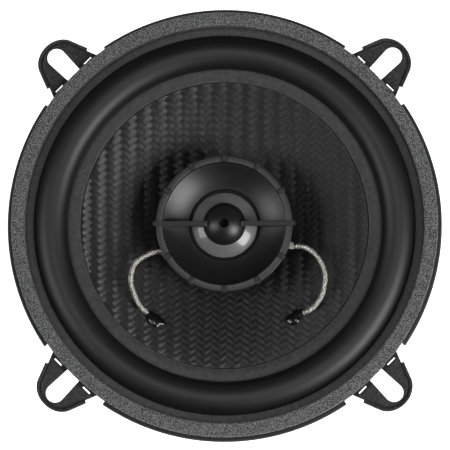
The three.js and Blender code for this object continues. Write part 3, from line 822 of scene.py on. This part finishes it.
TAB_SIDE = [(62.4, 10.6), (64.0, 9.4), (67.6, 8.0), (68.0, 8.7), (72.6, 6.9)]
TAB_END = arc((71.2, 0), (5.95, 7.1), 76, 0, 10)
LIP_LINE = TAB_SIDE[3:] + TAB_END[1:]
SLOT_IN, SLOT_END, SLOT_HALF_IN, SLOT_HALF_OUT = 63.4, 72.45, 2.42, 2.87


def both_sides(half):
    return half + mirrored(half)[1:]


def tab_flat():
    outline = both_sides(TAB_SIDE + TAB_END[1:])
    return plate(outline, FLANGE_TOP - SHEET, FLANGE_TOP - 0.05, 0.1)


def tab_lip():
    """The tab's turned-down edge: a rounded bead that follows its outline."""
    low, high, width = FLANGE_TOP - 2.2, FLANGE_TOP + 0.15, 0.95
    section = rounded([(0, low), (width, low), (width, high), (0, high)], 0.42, 5)
    return rail(both_sides(LIP_LINE), section)


def tab_groove():
    """Cuts a shallow step beside the tab's turned-down edge."""
    floor, high = FLANGE_TOP - 0.4, FLANGE_TOP + 0.3
    section = [(0.5, floor), (1.15, floor), (1.55, high), (0.5, high)]
    return rail(both_sides(LIP_LINE), section)


def tab_openings():
    """The screw slot, and a slit on each side where the tab leaves the flange."""
    low, high = FLANGE_TOP - LIP_DEPTH, FLANGE_TOP + 1
    end = arc((SLOT_END, 0), (SLOT_HALF_OUT, SLOT_HALF_OUT), -88, 88, 14)
    slot = plate([(SLOT_IN, SLOT_HALF_IN), (SLOT_IN, -SLOT_HALF_IN)] + end, low, high)
    slits = []
    for y in (-6.1, 6.1):
        outline = [(65.175 + u, y + v) for u, v in rectangle(0.225, 1.5)]
        slits.append(plate(rounded(outline, 0.1), low, high))
    return together(slot, *slits)


def lip_break():
    """Where the flange's own lip stops on each side of a tab."""
    half, inner, outer = 11.0, 64.8, FLANGE_R + 2
    outline = arc((0, 0), (inner, inner), -half, half, 12)
    outline += arc((0, 0), (outer, outer), half, -half, 12)
    return plate(outline, FLANGE_TOP - LIP_DEPTH - 1, FLANGE_TOP + 1)


def leg_rib():
    return plate(rounded(rectangle(1.6, 8.5), 1.5, 5), 0.4, 1.6, 0.5)


def turned(degrees, axis="Z"):
    return Matrix.Rotation(math.radians(degrees), 4, axis)


def copies(shape, angles, place):
    return together(*[moved(shape, place(degrees)) for degrees in angles])


def basket():
    diagonals = [45 + 360 / TABS * k for k in range(TABS)]
    between_legs = [(k + 0.5) * 360 / LEGS for k in range(LEGS)]
    terminal_leg = 6
    ribbed_legs = [k * 360 / LEGS for k in range(LEGS) if k != terminal_leg]
    shell = basket_sheet()
    for name, shape, angles, place, operation in (
        ("windows", window_shape(), between_legs, on_wall, "DIFFERENCE"),
        ("breaks", lip_break(), diagonals, turned, "DIFFERENCE"),
        ("flats", tab_flat(), diagonals, turned, "UNION"),
        ("ribs", leg_rib(), ribbed_legs, on_wall, "UNION"),
        ("grooves", tab_groove(), diagonals, turned, "DIFFERENCE"),
        ("lips", tab_lip(), diagonals, turned, "UNION"),
        ("openings", tab_openings(), diagonals, turned, "DIFFERENCE"),
    ):
        combined(shell, [new_object(name, *copies(shape, angles, place))], operation)
    return piece(shell, "root", "basket", degrees=30)


# Gasket, surround, cone and spider.

def fine_steps(outline, spacing):
    """The closed outline with no step longer than the spacing."""
    dense = []
    for k, start in enumerate(outline):
        a, b = Vector(start), Vector(outline[(k + 1) % len(outline)])
        count = max(1, math.ceil((b - a).length / spacing))
        dense += [tuple(a.lerp(b, step / count)) for step in range(count)]
    return dense


def gasket():
    inner, outer = GASKET_R[0], GASKET_R[1] - GASKET_INSET
    low, high = GASKET_Z[0], GASKET_Z[1] - 0.1
    seat = FLANGE_TOP + 0.05
    outline = [(inner, low), (GASKET_SKIRT_R, low), (GASKET_SKIRT_R, seat)]
    outline += [(outer, seat), (outer, high), (inner, high)]
    step, sides, grain_size, grain_height = 0.4, 1100, 0.8, 0.12
    ring = new_object("gasket", *revolve(fine_steps(rounded(outline, 0.5, 4), step), sides))
    grain_relief(ring, grain_size, grain_height)
    return piece(ring, "root", "gasket_ring", degrees=80)


def surround():
    inner, outer = ROLL_R
    flat = CONE_EDGE_TOP + 0.05 + RUBBER
    base = BAND_TOP - 0.25
    middle, half = (inner + outer) / 2, (outer - inner) / 2
    roll = arc((middle, base), (half, ROLL_HEIGHT), 180, 0, 36)
    front = [(WEAVE_R, flat - 0.1), (inner - 0.4, flat), (inner - 0.05, flat - 0.1)] + roll[1:-1]
    front += [(outer + 0.02, base), (outer + 0.1, BAND_TOP), (GASKET_SKIRT_R - 0.1, BAND_TOP)]
    ring = new_object("surround_roll", *revolve(rounded(sheet(front, RUBBER), 0.12, 2), 288))
    return flexible_piece(ring, "surround", between_radii(outer, inner))


def corners(obj):
    """The places of the mesh's vertices, in millimetres."""
    return np.array([v.co for v in obj.data.vertices]) / MM


def between_radii(still, moving):
    """A vertex's share of the way from the still radius to the moving one: none at one, and all at
    the other.
    """
    return lambda place: (still - np.hypot(place[:, 0], place[:, 1])) / (still - moving)


def flexible_piece(obj, node, share, degrees=40):
    """A finished mesh between the basket and the cone. The share of each vertex's place is worked
    out, but nothing uses it, so the mesh does not follow the cone."""
    smooth(obj, degrees)
    dress(obj, SLOT_OF[node])
    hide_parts(node)
    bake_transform(obj)
    part = np.clip(share(corners(obj)), 0, 1)
    return obj


def cone_top(r):
    share = (r - CONE_NECK_R) / (WEAVE_R - CONE_NECK_R)
    return CONE_EDGE_TOP - (CONE_EDGE_TOP - CONE_NECK_TOP) * max(0.0, 1 - share) ** CONE_FLARE


def cone():
    """Finely cut in front for the weave's relief, and coarsely behind."""
    rings, coarser, sides = 84, 12, 900
    radii = [CONE_NECK_R + (WEAVE_R - CONE_NECK_R) * k / rings for k in range(rings + 1)]
    front = [(r, cone_top(r)) for r in radii] + [(CONE_RIM_R, CONE_EDGE_TOP)]
    back = offset_line(front[::coarser] + front[-1:], CONE_SHEET)[::-1]
    shell = new_object("woven_cone", *revolve(front + back, sides))
    return piece(weave_relief(shell), "cone_assembly", "cone", degrees=60)


def spider():
    inner, outer = 13.3, reach("spider")
    flat = LEDGE_R - 5.4
    waves, wave_height, steps, cloth = 5, 0.8, 80, 0.45
    crown = top("spider") - wave_height
    radii = [inner + (flat - inner) * k / steps for k in range(steps + 1)]
    swing = [wave_height * math.sin(TURN * waves * k / steps) for k in range(steps + 1)]
    front = [(r, crown - wave) for r, wave in zip(radii, swing)] + [(outer, crown)]
    disc = new_object("spider_disc", *revolve(sheet(front, cloth), 120))
    return flexible_piece(disc, "spider", between_radii(flat, inner))


# Tweeter.

def horn():
    width, rise = HORN_MOUTH_R - HORN_THROAT_R, HORN_MOUTH_TOP - HORN_THROAT_TOP
    flare, steps, nose_r = [], 24, 0.45
    for k in range(steps + 1):
        share = k / steps
        height = HORN_CURVE * share**2 + (1 - HORN_CURVE) * share
        flare.append((HORN_THROAT_R + width * share, HORN_THROAT_TOP + rise * height))
    step = bottom("tweeter_bezel") + 0.1
    back = [(HORN_MOUTH_R, HORN_MOUTH_TOP), (HORN_MOUTH_R, step)]
    back += [(17, step), (17, step - 1.3), (14, 44.5)]
    nose = arc((HORN_THROAT_R, HORN_THROAT_TOP - nose_r), (nose_r, nose_r), 180, 90, 8)
    outline = nose[:-1] + flare + back + [(HORN_THROAT_R, 44.3)]
    return lathe("tweeter_horn", outline, "root", "tweeter_waveguide", 192, 0.12)


def bezel_rim():
    inner, outer = BEZEL_R
    low, high = BEZEL_Z
    outline = [(inner, low), (outer, low), (outer, high - 0.12), (inner, high)]
    return revolve(rounded(outline, 0.34, 5), 192)


def bullet():
    """A part of a ball with a blind hole in its middle."""
    hole, ball = BULLET_HOLE_R, 7.83
    crown = arc((0, top("tweeter_bezel") - 7.4), (ball, ball), 34.5, 79, 28)
    outline = [(0, 47.5), (5, 47.5), (6.2, 47.2)] + crown + [(hole, 50.2), (hole, 48.4), (0, 47.8)]
    return revolve(outline, 96)


def bar(side):
    near, far, half = BAR_START, reach("tweeter_bezel"), 0.78
    low, high = 47.9, LAND_TOP
    outline = [(near, low), (far, low), (far, high), (near + 0.6, high), (near, high - 0.3)]
    outline = [(side * x, z) for x, z in outline]
    return moved(plate(outline, -half, half, 0.18), turned(90, "X"))


def bezel():
    rib_height, rib_r, places = 2.8, 19.93, 12
    shape = block((2.5, 1.7, rib_height), 0.36)
    raised = Matrix.Translation((0, 0, LAND_TOP - rib_height / 2))
    ribs = round_copies(new_object("rib", *moved(shape, raised)), places, rib_r, places // 2)
    rim = new_object("tweeter_rim", *bezel_rim())
    bars = [new_object("bar", *bar(side)) for side in (-1, 1)]
    combined(rim, [ribs, new_object("bullet", *bullet())] + bars, "UNION")
    return piece(rim, "root", "tweeter_bezel", degrees=8)


def dome():
    steps, silk_depth = 28, 0.25
    shares = [1 - k / steps for k in range(steps + 1)]
    upper = [(DOME_R * share, DOME_EDGE + DOME_HEIGHT * (1 - share**3)) for share in shares]
    lower = [(r * 0.985, z - silk_depth) for r, z in upper[::-1]]
    return lathe("silk_dome", upper + lower, "dome_assembly", "tweeter_dome", 160)


def dome_suspension():
    seat = 43.85
    line = [(DOME_R + 0.1, seat)] + arc((10.5, seat), (0.45, 0.4), 180, 0, 8)[1:]
    line += [(11.0, seat), (11.15, 44.1), (11.5, 43.75), (13.2, 43.7)]
    ring = lathe("dome_suspension", sheet(line, 0.2), "root", "tweeter_suspension", 160)
    # The ring takes the darker black silk in place of its slot's finish, partly as painted shade in
    # the gap.
    ring.data.materials[0] = LOOKS["black_silk"]


def housing():
    low, high = bottom("tweeter_housing"), top("tweeter_housing")
    bore = 3.5
    outline = [(bore, low), (13.6, low), (17.4, low + 1.8), (18.4, high), (17.4, high)]
    outline += [(16.4, low + 2.6), (14, low + 1.2), (bore, low + 1.2)]
    return lathe("tweeter_shell", outline, "root", "tweeter_housing", 160, 0.4)


def post():
    low, high = bottom("tweeter_post"), top("tweeter_post")
    stem, foot, foot_z, head_z = 3.2, 8, 21.75, 37.9
    outline = [(0, low), (stem, low), (stem, foot_z), (foot, foot_z), (foot, foot_z + 1.4)]
    outline += [(5.4, foot_z + 2.8), (4.8, head_z), (stem, head_z), (stem, high), (0, high)]
    return lathe("centre_post", outline, "root", "tweeter_post", 96, 0.3)


# Leads.

LEFT_LEAD = [
    (-18.1, -7.9, 45.5), (-20.6, -8.2, 45.5), (-23, -8.9, 45.4), (-26.9, -11.4, 45.2),
    (-28.3, -14.8, 45), (-28.4, -17.7, 44.8), (-27.3, -21.2, 44.4), (-25.7, -24.5, 43.6),
    (-23.6, -26.6, 42.6),
]
RIGHT_LEAD = [
    (21.4, -6.7, 45.5), (23.3, -6.6, 45.5), (25.6, -7.5, 45.4), (27.8, -9.4, 45.3),
    (29.5, -12, 45.2), (30.5, -15, 45), (30.4, -17.8, 44.8), (29.7, -21, 44.4),
    (28, -23.9, 43.8), (25.9, -25.8, 43.1), (23.8, -26.7, 42.5),
]


def rear_lead(side):
    """From the terminal, through a window of the basket, to the back of the cone."""
    glued_at = (20.5, -29.2 if side < 0 else -28.6)
    end = cone_top(math.hypot(*glued_at)) - 1.7
    route = [(9.5, -54.6, 37.2), (13.2, -54.3, 37.2), (16, -51, 37.7), (17.2, -46.5, 38.2)]
    route += [(18.6, -41.5, 37.8), (19.8, -36, 37.7), (20.3, -31.2, end)]
    return [(side * x, y, z) for x, y, z in route]


def store_depth(obj, line):
    """Keeps how far each vertex is from the middle of the lead, from 0 in a gap to 1 outside. The
    tinsel paints shade in the gaps by it.
    """
    away = corners(obj)[:, None, :] - line[None, :, :]
    gaps = np.sqrt((away ** 2).sum(axis=2)).min(axis=1)
    inner = 0.45
    depth = ((gaps - inner) / (LEAD_R - inner)).clip(0, 1).astype(np.float32)
    obj.data.attributes.new("strand_depth_for_gap_shade", "FLOAT", "POINT").data.foreach_set("value", depth)


def braid(name, route, node):
    """A braided lead: two sets of strands wound opposite ways, which pass over and under."""
    line, run = smooth_line(route, 0.22)
    sides, ups = frames_along(line)
    carriers, pitch, strand, weave = 4, 5.2, 0.27, 0.1
    mean = LEAD_R - strand - 0.04
    # A core tube fills the gaps between the strands and is painted dark as shade in them.
    shapes = [tube(line[::3], mean - 0.02, 10)]
    for hand in (-1, 1):
        for carrier in range(carriers):
            turn = TURN * (carrier / carriers + hand * run / pitch)
            over = np.cos(carriers * TURN * run / pitch + math.pi * (carrier + (hand > 0)))
            out = np.cos(turn)[:, None] * sides + np.sin(turn)[:, None] * ups
            shapes.append(tube(line + (mean + weave * over)[:, None] * out, strand, 6))
    obj = new_object(name, *together(*shapes))
    store_depth(obj, line)
    start = np.array(route[0])
    span = np.array(route[-1]) - start

    def share(place):
        return ((place - start) @ span) / (span @ span)

    return flexible_piece(obj, node, share, degrees=60)


def glue_bead(name, node, spot, size, heading):
    """A blob of glue that has run a little way down the cone."""
    around, levels = 40, 18
    ahead = (math.cos(heading), math.sin(heading))
    points = []
    for i in range(levels + 1):
        tilt = math.pi * i / levels
        flare = 1 + 0.25 * max(0.0, -math.cos(tilt)) ** 2
        rise = max(size[2] * (math.cos(tilt) + 0.35), 0.02 * i / levels)
        for k in range(around):
            turn = TURN * k / around
            swell = 1 + 0.12 * math.sin(3 * turn + heading) + 0.06 * math.sin(5 * turn)
            out = math.sin(tilt) * swell * flare
            u, v = size[0] * out * math.cos(turn), size[1] * out * math.sin(turn)
            x = spot[0] + u * ahead[0] - v * ahead[1]
            y = spot[1] + u * ahead[1] + v * ahead[0]
            points.append((x, y, cone_top(math.hypot(x, y)) + 0.05 + rise))
    bead = new_object(name, points, net(levels + 1, around, flip=True))
    return piece(bead, "cone_assembly", node, degrees=80)


def lug(name, node, tip, degrees):
    base, half, shoulder = 18.8, 1.8, tip - 0.6
    outline = [(base, -half), (shoulder, -half / 2), (tip, 0), (shoulder, half / 2), (base, half)]
    shape = plate(rounded(outline, 0.3), bottom(node), top(node), 0.1)
    return piece(new_object(name, *moved(shape, turned(degrees))), "root", node)


# Motor.

def motor():
    yoke_r, pole_r, pole_top = reach("pole_yoke"), 12.3, top("pole_yoke")
    bore, nut_bore, nut_seat, back = 3.5, 6.5, 3.2, 4.5
    yoke = [(nut_bore, 0), (yoke_r, 0), (yoke_r, back), (pole_r, back), (pole_r, pole_top)]
    yoke += [(bore, pole_top), (bore, nut_seat), (nut_bore, nut_seat)]
    lathe("yoke_steel", yoke, "root", "pole_yoke", 192, 0.8)
    rings = (("ferrite_ring", "magnet", 17, 0.9), ("plate_steel", "top_plate", 14.1, 0.5))
    for name, node, inner, edge in rings:
        low, high, outer = bottom(node), top(node), reach(node)
        ring = [(inner, low), (outer, low), (outer, high), (inner, high)]
        lathe(name, ring, "root", node, 192, edge)
    former = [(12.7, 14.5), (13.1, 14.5), (13.1, 31.7), (12.7, 31.7)]
    lathe("coil_former", former, "cone_assembly", "voice_coil_former", 128)


# Terminals.

BOARD_PLACE = on_wall(-90) @ Matrix.Translation((0, 0, 2.3))


def on_board(name, shape, node):
    return piece(new_object(name, *moved(shape, BOARD_PLACE)), "root", node)


def rivet_shape(stem, head, low, high):
    thick = 0.6
    outline = [(0, low - thick), (head, low - thick), (head, low), (stem, low), (stem, high)]
    outline += [(head, high), (head * 0.8, high + thick), (0, high + thick)]
    return revolve(rounded(outline, 0.25, 3), 40)


def blade(width, side):
    near, far, low, high = 4.5, 21.0, 1.1, 1.9
    half, cut = width / 2, 1
    outline = [(near, -half), (far - cut, -half), (far, cut - half)]
    outline += [(x, -y) for x, y in outline[::-1]]
    return plate([(side * x, y) for x, y in outline], low, high, 0.12)


def terminals():
    card = plate(rounded(rectangle(13.0, 5.5), 0.8), -0.8, 0.8, 0.1)
    on_board("terminal_card", card, "terminal_board")
    on_board("card_rivet", rivet_shape(1.4, 2.6, -2.6, 0.9), "board_rivet")
    for name, width, side in (("positive", 6.3, 1), ("negative", 4.8, -1)):
        tab = new_object(f"{name}_blade", *moved(blade(width, side), BOARD_PLACE))
        hole = revolve([(0, 0), (0.9, 0), (0.9, 3), (0, 3)], 32)
        place = BOARD_PLACE @ Matrix.Translation((side * 16.5, 0, 0))
        combined(tab, [new_object("hole", *moved(hole, place))], "DIFFERENCE")
        piece(tab, "root", f"terminal_{name}")
        shape = moved(rivet_shape(0.9, 1.7, -1, 2.0), Matrix.Translation((side * 8.5, 0, 0)))
        on_board(f"{name}_rivet", shape, f"terminal_rivet_{name}")


def capacitor():
    radius, half, crimp = 2.6, 5.5, 0.35
    side = [(0, -half), (radius - 0.5, -half), (radius, 0.4 - half), (radius, 1.4 - half)]
    side += [(radius - crimp, 1.8 - half), (radius, 2.2 - half), (radius, half - 0.4)]
    side += [(radius - 0.5, half), (0, half)]
    shapes = [moved(revolve(rounded(side, 0.3, 3), 48), turned(90, "Y"))]
    for end in (-1, 1):
        x = end * half
        wire = [(0.9 * x, 0, 0), (x + end, 0, 0), (x + 2 * end, 0.8, 0), (x + 2.2 * end, 4.6, 0)]
        shapes.append(tube(smooth_line(wire, 0.4)[0], 0.3, 8))
    whole = moved(together(*shapes), Matrix.Translation((0, -8.4, 2.2)))
    on_board("filter_capacitor", whole, "crossover_capacitor")


# Studio.

def direction(azimuth, tilt):
    """A unit vector at an azimuth from +X and a tilt away from the axis, in degrees."""
    a, t = math.radians(azimuth), math.radians(tilt)
    return Vector((math.sin(t) * math.cos(a), math.sin(t) * math.sin(a), math.cos(t)))


def soft_light(name, heading, distance, size, power):
    """A rectangular light at a distance from the tweeter, turned towards it."""
    lamp = bpy.data.lights.new(name, "AREA")
    lamp.shape, lamp.size, lamp.size_y, lamp.energy = "RECTANGLE", size[0], size[1], power
    obj = bpy.data.objects.new(name, lamp)
    place = Vector((0, 0, 0.05)) + distance * direction(*heading)
    obj.location = place
    obj.rotation_euler = (Vector((0, 0, 0.045)) - place).to_track_quat("-Z", "Y").to_euler()
    bpy.context.scene.collection.objects.link(obj)


FLOOR_REACH = 150000


def studio():
    """Two soft boxes low on the sides, one in front, and a floor so wide that it is behind the
    loudspeaker in low views too."""
    soft_light("right_softbox", (-30, 50), 0.8, (0.4, 0.45), 5.8)
    soft_light("left_softbox", (189, 50), 0.8, (0.35, 0.45), 2.2)
    soft_light("front_softbox", (90, 4), 1.5, (0.5, 0.4), 3.2)
    world = bpy.data.worlds.new("studio")
    world.use_nodes = True
    sky = world.node_tree.nodes["Background"]
    sky.inputs["Color"].default_value = (1, 1, 1, 1)
    sky.inputs["Strength"].default_value = 0.02
    bpy.context.scene.world = world
    wall, height, level = FLOOR_REACH + 1000, FLOOR_REACH * 0.06, -0.02
    tray = [(0, -2), (wall, -2), (wall, height), (FLOOR_REACH, height)]
    tray += [(FLOOR_REACH, level), (0, level)]
    floor = new_object("floor", *revolve(tray, 60))
    paper = Finish("pale_floor", (0.85, 0.85, 0.85), 0.8)
    paper.shader.inputs["Emission Color"].default_value = (1, 1, 1, 1)
    paper.shader.inputs["Emission Strength"].default_value = 1.0
    floor.data.materials.append(paper.material)
    bpy.context.scene.view_settings.view_transform = "Standard"


def camera():
    """Looks nearly straight down the axis, from a little below it and to its right."""
    lens = bpy.data.cameras.new("camera")
    view = bpy.data.objects.new("camera", lens)
    distance, width = 1.3, 0.1365
    aim = Vector((0.0002, -0.0003, 0.0475))
    back = direction(-76, 6.4)
    up = (Vector((0, 1, 0)) - back * back.y).normalized()
    view.matrix_world = Matrix((up.cross(back), up, back)).transposed().to_4x4()
    view.location = aim + distance * back
    lens.sensor_width = 36
    lens.lens = lens.sensor_width * distance / width
    lens.clip_start, lens.clip_end = 0.05, 400
    bpy.context.scene.collection.objects.link(view)
    bpy.context.scene.camera = view


# The loudspeaker.

camera()
studio()
basket()
gasket()
surround()
cone()
spider()
motor()
horn()
bezel()
dome()
dome_suspension()
housing()
post()
terminals()
capacitor()
lug("left_lug", "tweeter_lug_left", 21.6, math.degrees(math.atan2(-7.9, -18.1)))
lug("right_lug", "tweeter_lug_right", 22.6, math.degrees(math.atan2(-6.5, 20.8)))
braid("left_tinsel", LEFT_LEAD, "tweeter_lead_left")
braid("right_tinsel", RIGHT_LEAD, "tweeter_lead_right")
braid("left_rear_tinsel", rear_lead(-1), "woofer_lead_left")
braid("right_rear_tinsel", rear_lead(1), "woofer_lead_right")
glue_bead("left_glue", "lead_glue_left", (-21.1, -28.6), (3.3, 2.0, 1.35), math.radians(-40))
glue_bead("right_glue", "lead_glue_right", (21.1, -28.0), (3.1, 1.9, 1.35), math.radians(-135))

for name, node in frame["nodes"].items():
    if not node.hide_render:
        dress(node, SLOT_OF[name])
